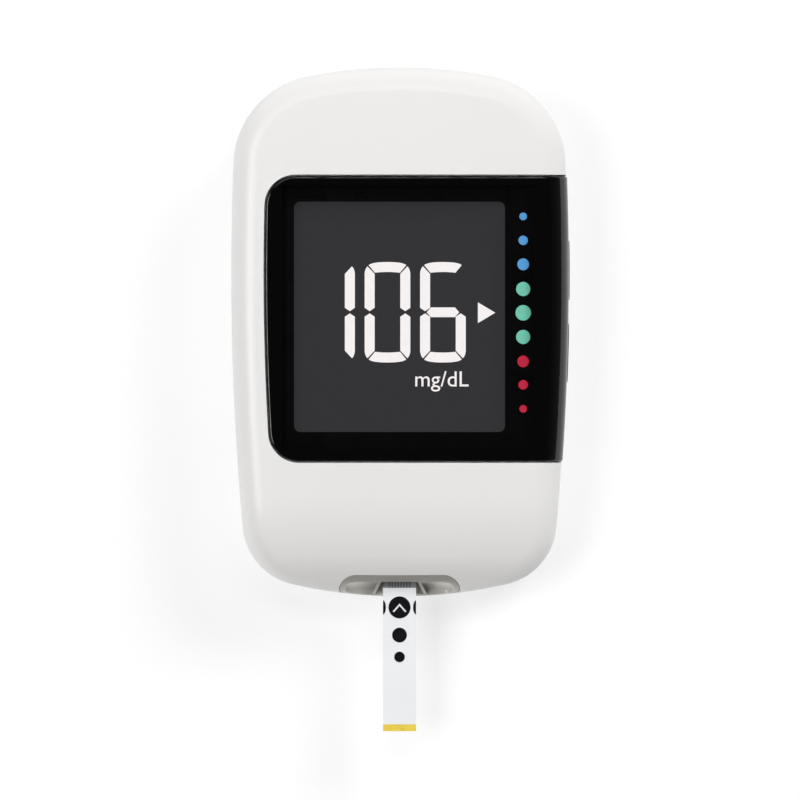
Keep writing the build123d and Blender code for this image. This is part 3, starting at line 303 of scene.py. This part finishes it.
def varied(name, colour, roughness, grain, bump, spread=0.03, clouds=60.0, **sockets):
    """A moulded or printed surface: fine grain in its height, slow change in its colour and gloss."""
    mat, nodes, links, shader = new_material(name, colour, roughness, **sockets)
    slow = noise(nodes, links, clouds, 3.0)
    share = ranged(nodes, links, slow, 0, 1)
    tone = blended(nodes, links, share, scaled(colour, 1 - spread), scaled(colour, 1 + spread))
    links.new(tone, shader.inputs["Base Color"])
    low, high = roughness * (1 - 4 * spread), min(1.0, roughness * (1 + 4 * spread))
    links.new(ranged(nodes, links, slow, low, high), shader.inputs["Roughness"])
    bumped(nodes, links, shader, noise(nodes, links, grain, 3.0), bump, GRAIN_DEPTH)
    return mat


def striped(name, dark, light, roughness, pitch, axis, **sockets):
    """Fine parallel stripes across one axis, as in conducting rubber or on tinned ends."""
    mat, nodes, links, shader = new_material(name, dark, roughness, **sockets)
    place = nodes.new("ShaderNodeTexCoord")
    wave = nodes.new("ShaderNodeTexWave")
    wave.bands_direction = axis
    wave.inputs["Scale"].default_value = WAVE_AT_ONE / (pitch * MM)
    wave.inputs["Distortion"].default_value = 0.4
    links.new(place.outputs["Object"], wave.inputs["Vector"])
    links.new(blended(nodes, links, wave.outputs["Fac"], dark, light), shader.inputs["Base Color"])
    return mat


def metal(name, colour, roughness, scratches=900.0):
    """Plated metal with faint brushing and a little spotting in its colour."""
    mat, nodes, links, shader = new_material(name, colour, roughness, Metallic=1.0)
    brush = noise(nodes, links, scratches, 4.0, BRUSH_STRETCH)
    links.new(ranged(nodes, links, brush, roughness * 0.7, roughness * 1.4), shader.inputs["Roughness"])
    spots = ranged(nodes, links, noise(nodes, links, 250.0), 0, 1)
    links.new(blended(nodes, links, spots, scaled(colour, BRUSH_TINT), colour), shader.inputs["Base Color"])
    bumped(nodes, links, shader, brush, 0.15, BRUSH_DEPTH)
    return mat


def arrowed(mat, colour):
    """Prints the keys' arrows on their material."""
    nodes, links = mat.node_tree.nodes, mat.node_tree.links
    shader = nodes["Principled BSDF"]
    (down_low, _), (up_low, up_high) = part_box("down_button"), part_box("up_button")
    middle = (down_low + up_high) / 2
    centre = (up_low + up_high) / 2
    place = placed(nodes, links)
    from_middle = figured(nodes, links, "SUBTRACT", place["Y"], middle.y)
    foot = centre.y - middle.y - ARROW_LENGTH / 2 * MM
    along = figured(nodes, links, "SUBTRACT", figured(nodes, links, "ABSOLUTE", from_middle), foot)
    from_centre = figured(nodes, links, "SUBTRACT", place["Z"], centre.z)
    across = figured(nodes, links, "ABSOLUTE", from_centre)
    slope = figured(nodes, links, "MULTIPLY_ADD", across, ARROW_LENGTH / ARROW_HALF, along)
    short = figured(nodes, links, "LESS_THAN", slope, ARROW_LENGTH * MM)
    arrow = figured(nodes, links, "MULTIPLY", short, figured(nodes, links, "GREATER_THAN", along, 0.0))
    plain = shader.inputs["Base Color"].links[0].from_socket
    links.new(blended(nodes, links, arrow, plain, colour), shader.inputs["Base Color"])
    return mat


def painted_port_glow(mat, colour, near, far):
    """Paints a glow on a moulding: an emission standing in for the port's two lamps shining through it,
    which also lightens its shaded dish; the painted glow fades from near to far millimetres.
    """
    nodes, links = mat.node_tree.nodes, mat.node_tree.links
    shader = nodes["Principled BSDF"]
    low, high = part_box("port_leds")
    side = high.x - (high.y - low.y)  # a lamp is twice as wide as it is deep
    place = placed(nodes, links)
    folded = nodes.new("ShaderNodeCombineXYZ")
    links.new(figured(nodes, links, "ABSOLUTE", place["X"]), folded.inputs["X"])
    links.new(place["Y"], folded.inputs["Y"])
    links.new(place["Z"], folded.inputs["Z"])
    lamp_at = Vector((side, (low.y + high.y) / 2, (low.z + high.z) / 2))
    stretch = nodes.new("ShaderNodeVectorMath")
    stretch.operation = "MULTIPLY"
    stretch.inputs[1].default_value = PAINTED_GLOW_SHAPE
    links.new(folded.outputs["Vector"], stretch.inputs[0])
    away = nodes.new("ShaderNodeVectorMath")
    away.operation = "DISTANCE"
    away.inputs[1].default_value = lamp_at * Vector(PAINTED_GLOW_SHAPE)
    links.new(stretch.outputs["Vector"], away.inputs[0])
    painted_glow_fade = nodes.new("ShaderNodeMapRange")
    painted_glow_fade.interpolation_type = "SMOOTHSTEP"
    painted_glow_fade.inputs["From Min"].default_value = near * MM
    painted_glow_fade.inputs["From Max"].default_value = far * MM
    painted_glow_fade.inputs["To Min"].default_value = 1.0
    painted_glow_fade.inputs["To Max"].default_value = 0.0
    links.new(away.outputs["Value"], painted_glow_fade.inputs["Value"])
    # painted glow: emission standing in for the lamps' light through the moulding
    glow = blended(nodes, links, painted_glow_fade.outputs["Result"], (0.0, 0.0, 0.0), colour)
    links.new(glow, shader.inputs["Emission Color"])
    shader.inputs["Emission Strength"].default_value = 1.0
    return mat


def within(nodes, links, x, y):
    """1 inside an upright column of the housing, 0 outside; x and y are its spans in millimetres."""
    place = placed(nodes, links)
    inside = []
    for axis, (low, high) in (("X", x), ("Y", y)):
        middle, half = (low + high) / 2 * MM, (high - low) / 2 * MM
        inside.append(figured(nodes, links, "COMPARE", place[axis], middle, half))
    return figured(nodes, links, "MULTIPLY", *inside)


def clear_gloss(name, tint, ior, roughness, dark, x, y):
    """A gloss moulding: over the given spans it shows what lies behind it, and round them it is dark."""
    mat, nodes, links, surface = bare_material(name)
    clear = nodes.new("ShaderNodeBsdfTransparent")
    clear.inputs["Color"].default_value = (*tint, 1)
    body = nodes.new("ShaderNodeBsdfDiffuse")
    body.inputs["Color"].default_value = (*dark, 1)
    gloss = nodes.new("ShaderNodeBsdfGlossy")
    gloss.inputs["Color"].default_value = (1, 1, 1, 1)
    smear = noise(nodes, links, 140.0, 4.0)
    links.new(ranged(nodes, links, smear, roughness * 0.6, roughness * 1.6), gloss.inputs["Roughness"])
    fresnel = nodes.new("ShaderNodeFresnel")
    fresnel.inputs["IOR"].default_value = ior
    share = figured(nodes, links, "MULTIPLY", fresnel.outputs["Fac"], front_side(nodes, links))
    zone = within(nodes, links, x, y)
    through = joined(nodes, links, zone, body.outputs["BSDF"], clear.outputs["BSDF"])
    links.new(joined(nodes, links, share, through, gloss.outputs["BSDF"]), surface)
    return mat


def lit(name, colour, strength, spread=0.03):
    """A lit segment of the display: pale, evenly bright, with the faint mottle of its diffuser."""
    mat, nodes, links, shader = new_material(name, (0.05, 0.05, 0.05), 0.6, Emission_Strength=strength)
    mottle = ranged(nodes, links, noise(nodes, links, 900.0), 0, 1)
    glow = blended(nodes, links, mottle, scaled(colour, 1 - spread), colour)
    links.new(glow, shader.inputs["Emission Color"])
    return mat


# ---------------------------------------------------------------- materials

WHITE = (0.875, 0.866, 0.855)
BLACK = (0.0018, 0.0018, 0.0019)
PORT_GREY = varied(
    "port_grey", (0.36, 0.348, 0.318), 0.3, 5000.0, 0.05, 0.03,
    Subsurface_Weight=0.5, Subsurface_Scale=1.5 * MM, Subsurface_Radius=(1.0, 0.95, 0.85),
)
KEY_BLACK = varied("key_black", (0.012, 0.012, 0.013), 0.22, 6000.0, 0.08, 0.08)
MATERIALS = {
    "white_shell": varied("white_shell", WHITE, 0.36, 7000.0, 0.12, 0.008, 45.0),
    "black_lens": clear_gloss("black_lens", (0.985, 0.985, 0.99), 1.5, 0.02, BLACK, *CLEAR_ZONE),
    "black_ink": varied("black_ink", BLACK, 0.6, 5000.0, 0.03, 0.1, Specular_IOR_Level=0.02),
    "tape": varied("tape", (0.004, 0.004, 0.004), 0.9, 3000.0, 0.5, 0.1, Specular_IOR_Level=0.1),
    "polariser": varied(
        "polariser", (0.010, 0.010, 0.0105), 0.6, 4000.0, 0.02, 0.02, 30.0,
        Specular_IOR_Level=0.02, Emission_Color=(0.98, 0.95, 1.03, 1), Emission_Strength=0.0285,
    ),
    "display_glass": varied("display_glass", (0.30, 0.33, 0.34), 0.08, 500.0, 0.01, 0.02),
    "clear_acrylic": varied("clear_acrylic", (0.78, 0.80, 0.82), 0.1, 800.0, 0.05, 0.02),
    "grey_moulding": varied("grey_moulding", (0.20, 0.20, 0.21), 0.5, 4000.0, 0.2),
    "zebra_rubber": striped("zebra_rubber", (0.05, 0.05, 0.05), (0.6, 0.6, 0.57), 0.6, 0.1, "X"),
    "solder_mask": varied("solder_mask", (0.012, 0.14, 0.06), 0.3, 1500.0, 0.1, 0.15, 400.0),
    "chip_black": varied("chip_black", (0.03, 0.03, 0.033), 0.55, 9000.0, 0.3, 0.08),
    "ceramic": striped("ceramic", (0.45, 0.36, 0.26), (0.62, 0.60, 0.56), 0.45, 0.5, "X"),
    "shield_metal": metal("shield_metal", (0.62, 0.62, 0.60), 0.35),
    "led_white": varied("led_white", (0.88, 0.87, 0.78), 0.35, 3000.0, 0.05),
    "usb_steel": metal("usb_steel", (0.66, 0.66, 0.65), 0.25),
    "cell_steel": metal("cell_steel", (0.62, 0.62, 0.61), 0.22, 2500.0),
    "contact_gold": metal("contact_gold", (0.90, 0.70, 0.36), 0.25),
    "spring_steel": metal("spring_steel", (0.60, 0.60, 0.60), 0.3),
    "screw_steel": metal("screw_steel", (0.50, 0.50, 0.51), 0.3),
    "strip_white": varied("strip_white", (0.90, 0.91, 0.92), 0.4, 4000.0, 0.04, 0.01),
    "strip_print": varied("strip_print", (0.92, 0.93, 0.945), 0.45, 5000.0, 0.05, 0.01, 200.0),
    "strip_yellow": varied("strip_yellow", (0.90, 0.67, 0.085), 0.3, 3000.0, 0.05, 0.06, 900.0),
    "electrode_dark": varied("electrode_dark", (0.10, 0.10, 0.105), 0.5, 8000.0, 0.1, 0.1),
    # the port's moulding gets a painted glow, an emission standing in for its lamps' light that also
    # lightens its shaded dish
    "port_grey": painted_port_glow(PORT_GREY, (0.29, 0.284, 0.262), 0.8, 3.5),
    "connector_black": varied("connector_black", (0.03, 0.03, 0.033), 0.45, 5000.0, 0.2, 0.08),
    "key_black": arrowed(KEY_BLACK, (0.55, 0.55, 0.56)),
    "slider_grey": varied("slider_grey", (0.42, 0.43, 0.43), 0.45, 5000.0, 0.15),
}
LIT = lit("lit_segment", (0.94, 0.895, 0.888), 1.0)
INK_COLOURS = {"blue": (0.108, 0.378, 0.75), "green": (0.191, 0.638, 0.473), "red": (0.58, 0.025, 0.059)}
INK = {
    name: varied(f"ink_{name}", colour, 0.6, 6000.0, 0.05, 0.04, 600.0, Specular_IOR_Level=0.05)
    for name, colour in INK_COLOURS.items()
}
STRIP_BLACK = (0.005, 0.0045, 0.0055)
STRIP_INK = varied("strip_ink", STRIP_BLACK, 0.5, 6000.0, 0.08, 0.1, 900.0, Specular_IOR_Level=0.1)
STRIP_CLEAR = varied("strip_clear", (0.80, 0.82, 0.83), 0.4, 4000.0, 0.05, 0.01)
STRIP_CARBON = varied("strip_carbon", (0.25, 0.26, 0.265), 0.4, 6000.0, 0.05, 0.05)


def dress_nodes():
    """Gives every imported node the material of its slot."""
    for entry in frame["record"]["subparts"]:
        mesh = NODES[entry["node"]].data
        mesh.materials.clear()
        mesh.materials.append(MATERIALS[entry["material_slot"]])


# ---------------------------------------------------------------- figures on the display


def bow(start, pull, end, steps=8):
    """Points along a smooth bend from start to end, pulled towards a third point."""
    line = []
    for i in range(steps + 1):
        t = i / steps
        weights = ((1 - t) ** 2, 2 * t * (1 - t), t * t)
        line.append(tuple(sum(w * c for w, c in zip(weights, axis)) for axis in zip(start, pull, end)))
    return line


def upright(height):
    """The left upper segment of a figure whose lower left corner is at 0, 0."""
    half_gap = SEGMENT_GAP / 2
    middle = height / 2
    inner = height - SEGMENT_T - half_gap
    pull, end = [(across, height - down) for across, down in (SIDE_PULL, SIDE_END)]
    crown = bow((0, height - DIGIT_CORNER), pull, end, 5)
    tip = (SEGMENT_T / 2, middle + half_gap)
    shoulder = middle + SEGMENT_T / 2 - SHOULDER_EASE
    return crown + [(SEGMENT_T, inner - SIDE_EASE), (SEGMENT_T, shoulder), tip, (0, shoulder)]


def crossbar(width, height):
    """The top segment: bowed outside, nearly straight inside."""
    left, down = CROSSBAR_END
    outer = bow((left, height - down), (width * CROSSBAR_PULL, height), (width / 2, height), 6)
    outer += [(width - x, y) for x, y in outer[-2::-1]]
    inner_y = height - SEGMENT_T
    inset = SEGMENT_T + CROSSBAR_INSET
    low, high = inner_y - CROSSBAR_BOW[0], inner_y + CROSSBAR_BOW[1]
    return outer + bow((width - inset, low), (width / 2, high), (inset, low), 6)


def middle_bar(width, height):
    """The middle segment: pointed at both ends."""
    y, half = height / 2, SEGMENT_T / 2 - MIDDLE_EASE[1]
    tip, slope = SEGMENT_T / 2 + SEGMENT_GAP * MIDDLE_TIP, SEGMENT_T + MIDDLE_EASE[0]
    upper = [(tip, y), (slope, y + half), (width - slope, y + half), (width - tip, y)]
    return upper + [(width - slope, y - half), (slope, y - half)]


def mirrored(outline, width=None, height=None):
    """An outline turned over left to right, top to bottom, or both."""
    if width is not None:
        outline = [(width - x, y) for x, y in outline]
    if height is not None:
        outline = [(x, height - y) for x, y in outline]
    return outline


def segments(width, height):
    """The seven segments of a figure, by their usual letters."""
    side, bar = upright(height), crossbar(width, height)
    return {
        "a": bar,
        "b": mirrored(side, width),
        "c": mirrored(side, width, height),
        "d": mirrored(bar, None, height),
        "e": mirrored(side, None, height),
        "f": side,
        "g": middle_bar(width, height),
    }


FIGURES = {"0": "abcdef", "1": "bc", "6": "acdefg"}
READING = "106"


def figures():
    """The reading, in seven-segment figures."""
    width, height = DIGIT_SIZE
    low = corner_of("lcd_polariser", 1).z + FIGURE_LIFT
    shapes = segments(width, height)
    for place, figure in enumerate(READING):
        bm = bmesh.new()
        left = DIGITS_LEFT + place * DIGIT_PITCH
        for letter in FIGURES[figure]:
            outline = [(left + x, DIGITS_TOP - height + y) for x, y in shapes[letter]]
            plate(bm, outline, low, low + FIGURE_T)
        keep(f"figure_{place}", bm, LIT, "housing")


def pointer():
    """The triangle that points from the reading to the coloured dots."""
    left, tip, middle, half = POINTER
    low = corner_of("lcd_polariser", 1).z + FIGURE_LIFT
    bm = bmesh.new()
    plate(bm, [(left, middle - half), (tip, middle), (left, middle + half)], low, low + FIGURE_T)
    keep("pointer", bm, LIT, "housing")


def unit():
    """The unit under the reading."""
    low = corner_of("lcd_polariser", 1).z + FIGURE_LIFT
    curve = bpy.data.curves.new("unit", "FONT")
    curve.body = "mg/dL"
    curve.size = UNIT_CAP_HEIGHT / CAP_SHARE * MM
    curve.offset = UNIT_BOLDER * MM
    curve.space_character = UNIT_SPACING
    curve.extrude = FIGURE_T / 2 * MM
    curve.materials.append(LIT)
    piece = bpy.data.objects.new("unit", curve)
    piece.location = (UNIT_LEFT * MM, UNIT_BASE * MM, (low + FIGURE_T / 2) * MM)
    bpy.context.scene.collection.objects.link(piece)
    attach(piece, "housing")


def scale_dots():
    """The coloured dots, printed behind the lens over its black ink."""
    high = corner_of("lens_print", 1).z
    for i, (y, radius, colour) in enumerate(DOTS):
        bm = bmesh.new()
        plate(bm, disc(DOT_X, y, radius), high, high + DOT_T)
        keep(f"dot_{i}", bm, INK[colour], "housing")


# ---------------------------------------------------------------- print on the strip


def strip_print():
    """Marks on the strip's upper side: the way in, two dots and a half circle at each edge."""
    low = corner_of("strip_film", 1).z
    high = low + PRINT_T
    edge = corner_of("strip_film", 1).x
    bm = bmesh.new()
    plate(bm, disc(0, RING_Y, RING_R), low, high)
    for y, radius in STRIP_DOTS:
        plate(bm, disc(0, y, radius), low, high)
    steps = [radians(a) for a in range(-90, 91, 10)]
    for side in (-1, 1):
        arc = [(side * (edge - EDGE_MARK_DEPTH * cos(a)), RING_Y + EDGE_MARK_R * sin(a)) for a in steps]
        plate(bm, arc if side < 0 else arc[::-1], low, high)
    keep("strip_marks", bm, STRIP_INK, "test_strip")
    half, height, stroke = CHEVRON
    arm = hypot(half, height)
    top = RING_Y + height / 2
    foot = (half - stroke * height / arm, top - height - stroke * half / arm)
    outline = [(-half, top - height), (0, top), (half, top - height)]
    outline += [foot, (0, top - stroke * arm / half), (-foot[0], foot[1])]
    bm = bmesh.new()
    plate(bm, outline, high, high + PRINT_T)
    keep("strip_chevron", bm, STRIP_CLEAR, "test_strip")


def strip_carbon():
    """The grey carbon print and the finer dark tracks over it, on the strip's bare end."""
    top = corner_of("strip_base", 1)
    near, far = corner_of("strip_film", 1).y, top.y

    def bar(bm, x, width, thickness):
        left, right = x - width / 2, x + width / 2
        plate(bm, [(left, near), (right, near), (right, far), (left, far)], top.z, top.z + thickness)

    bm = bmesh.new()
    bar(bm, 0, 2 * top.x, PRINT_T)
    keep("strip_carbon", bm, STRIP_CARBON, "test_strip")
    count, pitch, width, thickness = TRACKS
    bm = bmesh.new()
    for i in range(count):
        bar(bm, (i - (count - 1) / 2) * pitch, width, thickness)
    piece = keep("strip_tracks", bm, MATERIALS["electrode_dark"], "test_strip")
    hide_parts("strip_electrodes")


# ---------------------------------------------------------------- inside


def return_spring():
    """The ejector's coil spring; its seat is at its end towards the strip."""
    low, high = corner_of("ejector_spring", 0), corner_of("ejector_spring", 1)
    middle = (low + high) / 2
    radius = (high.x - low.x - WIRE_D) / 2
    length = high.y - low.y - WIRE_D
    round_steps, wire_steps = 24, 8
    bm = bmesh.new()
    rings = []
    for i in range(COILS * round_steps + 1):
        turn = 2 * pi * i / round_steps
        y = low.y + WIRE_D / 2 + length * i / (COILS * round_steps)
        ring = []
        for k in range(wire_steps):
            lean = 2 * pi * k / wire_steps
            out, forward = radius + WIRE_D / 2 * cos(lean), WIRE_D / 2 * sin(lean)
            point = (middle.x + out * cos(turn), y + forward, middle.z + out * sin(turn))
            ring.append(bm.verts.new(point))
        rings.append(ring)
    for ring, after in zip(rings, rings[1:]):
        for k in range(wire_steps):
            j = (k + 1) % wire_steps
            bm.faces.new((ring[k], ring[j], after[j], after[k]))
    bm.faces.new(rings[0][::-1])
    bm.faces.new(rings[-1])
    piece = keep("return_spring", bm, MATERIALS["spring_steel"], "housing")
    for face in piece.data.polygons:
        face.use_smooth = True
    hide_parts("ejector_spring")
    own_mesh(piece)


# ---------------------------------------------------------------- studio


def camera():
    """A long lens straight above, framed as the photograph is."""
    lens = bpy.data.cameras.new("camera")
    lens.type = "PERSP"
    lens.sensor_width = SENSOR
    lens.lens = SENSOR * (CAMERA_HEIGHT - LENS_LEVEL) / VIEW_WIDTH
    lens.clip_start, lens.clip_end = 0.05, 20.0
    eye = bpy.data.objects.new("camera", lens)
    eye.location = (VIEW_MIDDLE[0] * MM, VIEW_MIDDLE[1] * MM, CAMERA_HEIGHT * MM)
    bpy.context.scene.collection.objects.link(eye)
    bpy.context.scene.camera = eye


# Azimuth (0 is the strip's end, 90 the right side), elevation, distance in metres, size in metres, watts
LAMPS = {
    "back_right": (135, 32, 1.6, (0.8, 0.5), 14.4),
    "high_left": (-90, 60, 1.6, (0.8, 0.6), 10.0),
    "high_back": (180, 66, 1.6, (1.2, 0.4), 6.3),
    "front_low": (0, 16, 1.2, (0.9, 0.12), 2.1),
    "left_low": (-90, 14, 1.2, (0.9, 0.2), 2.2),
    "right_low": (90, 10, 1.2, (0.9, 0.35), 0.25),
}
MIRRORED = ("high_left", "high_back")  # the rest don't show in gloss: they'd burn out the lens in low views

# The surroundings' brightness, by height from straight down (0) over the horizon (0.5) to straight up (1)
BOUNCE = 0.80  # below the horizon, for the light that the table throws up
ZENITH = 0.02
ROOM_STOPS = ((0.499, BOUNCE), (0.501, 0.18), (0.60, 0.12), (0.80, 0.05), (0.93, ZENITH))


def lamp(name, azimuth, elevation, distance, size, watts):
    """A soft rectangular lamp aimed at the meter."""
    light = bpy.data.lights.new(name, "AREA")
    light.shape = "RECTANGLE"
    light.size, light.size_y = size
    light.energy = watts
    around, up = radians(azimuth), radians(elevation)
    away = Vector((sin(around) * cos(up), -cos(around) * cos(up), sin(up)))
    holder = bpy.data.objects.new(name, light)
    holder.location = away * distance
    holder.rotation_euler = (-away).to_track_quat("-Z", "Y").to_euler()
    holder.visible_glossy = name in MIRRORED
    bpy.context.scene.collection.objects.link(holder)


def world():
    """Pale surroundings below the horizon, and darker above it, where the lens would mirror them."""
    room = bpy.data.worlds.new("room")
    bpy.context.scene.world = room
    room.use_nodes = True
    nodes, links = room.node_tree.nodes, room.node_tree.links
    back = nodes["Background"]
    place = nodes.new("ShaderNodeTexCoord")
    parts = nodes.new("ShaderNodeSeparateXYZ")
    links.new(place.outputs["Generated"], parts.inputs["Vector"])
    ramp = nodes.new("ShaderNodeValToRGB")
    stops = ramp.color_ramp.elements
    stops[0].position, stops[0].color = 0.0, (BOUNCE, BOUNCE, BOUNCE, 1)
    stops[1].position, stops[1].color = 1.0, (ZENITH, ZENITH, ZENITH, 1)
    for position, level in ROOM_STOPS:
        stop = stops.new(position)
        stop.color = (level, level, level * 1.01, 1)
    links.new(figured(nodes, links, "MULTIPLY_ADD", parts.outputs["Z"], 0.5, 0.5), ramp.inputs["Fac"])
    links.new(ramp.outputs["Color"], back.inputs["Color"])
    back.inputs["Strength"].default_value = 1.0


def floor():
    """A white table top. Seen from underneath it is clear, so that the meter's back can be looked at."""
    mat, nodes, links, output = bare_material("table")
    matt = nodes.new("ShaderNodeBsdfDiffuse")
    matt.inputs["Color"].default_value = (TABLE_COLOUR, TABLE_COLOUR, TABLE_COLOUR, 1)
    glow = nodes.new("ShaderNodeEmission")
    glow.inputs["Strength"].default_value = TABLE_GLOW
    surface = nodes.new("ShaderNodeAddShader")
    links.new(matt.outputs["BSDF"], surface.inputs[0])
    links.new(glow.outputs["Emission"], surface.inputs[1])
    clear = nodes.new("ShaderNodeBsdfTransparent")
    rays = nodes.new("ShaderNodeLightPath")
    seen = rays.outputs["Is Camera Ray"]
    for kind in ("Is Glossy Ray", "Is Transmission Ray"):
        seen = figured(nodes, links, "MAXIMUM", seen, rays.outputs[kind])
    shown = figured(nodes, links, "MULTIPLY", seen, front_side(nodes, links))
    links.new(joined(nodes, links, shown, clear.outputs["BSDF"], surface.outputs["Shader"]), output)
    bm = bmesh.new()
    bmesh.ops.create_circle(bm, cap_ends=True, segments=96, radius=TABLE_RADIUS)
    mesh = bpy.data.meshes.new("table")
    bm.to_mesh(mesh)
    bm.free()
    mesh.materials.append(mat)
    table = bpy.data.objects.new("table", mesh)
    table.location.z = -TABLE_GAP * MM
    bpy.context.scene.collection.objects.link(table)


# ---------------------------------------------------------------- the scene

dress_nodes()
figures()
pointer()
unit()
scale_dots()
strip_print()
strip_carbon()
return_spring()

camera()
for name, place in LAMPS.items():
    lamp(name, *place)
world()
floor()

scene = bpy.context.scene
scene.view_settings.view_transform = "Standard"
